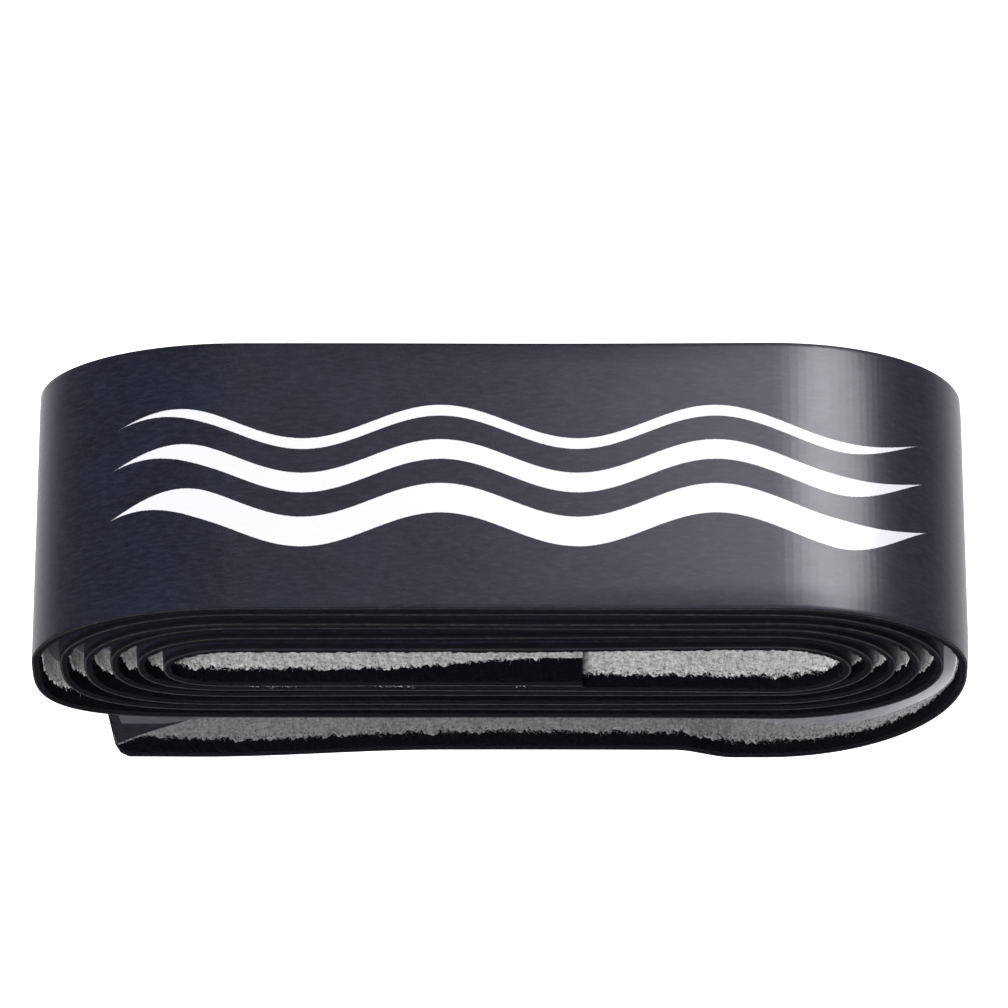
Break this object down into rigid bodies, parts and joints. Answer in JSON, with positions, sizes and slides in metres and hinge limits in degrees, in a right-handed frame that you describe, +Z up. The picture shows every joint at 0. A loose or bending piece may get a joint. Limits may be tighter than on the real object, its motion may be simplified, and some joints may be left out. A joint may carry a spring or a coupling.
{
  "type": "grip tape roll",
  "caption": "Flattened roll of cushioned racket grip tape: smooth dark outer skin, foam core with thinned edges and felt backing, with its loose outer end lying underneath.",
  "frame": {"origin": "on the table, under the middle of the roll's bounding box", "axes": "+X along the roll's length towards the loose bend, +Y across the tape's width away from the print's reader, +Z up"},
  "size_m": [0.089, 0.03, 0.0273],
  "materials": {
    "skin": "smooth synthetic leather with a fine grain and a soft sheen",
    "foam": "matte cut foam",
    "felt": "short-fibred grey felt with frayed borders",
    "adhesive": "tacky pressure-sensitive film",
    "liner": "smooth release paper",
    "tab": "thin smooth dark film"
  },
  "bodies": {
    "tail": {"skin_tail": "skin", "foam_tail": "foam", "felt_tail": "felt", "adhesive_tail": "adhesive", "liner_tail": "liner", "end_tab": "tab"},
    "coil": {"skin_coil": "skin", "foam_coil": "foam", "felt_coil": "felt", "adhesive_coil": "adhesive", "liner_coil": "liner"}
  },
  "joints": [
    {"name": "tail_peel", "type": "hinge", "parent": "tail", "child": "coil", "pos_m": [0.0445, 0, 0.0157], "axis": [0, 1, 0], "range_deg": [0, 60]}
  ]
}
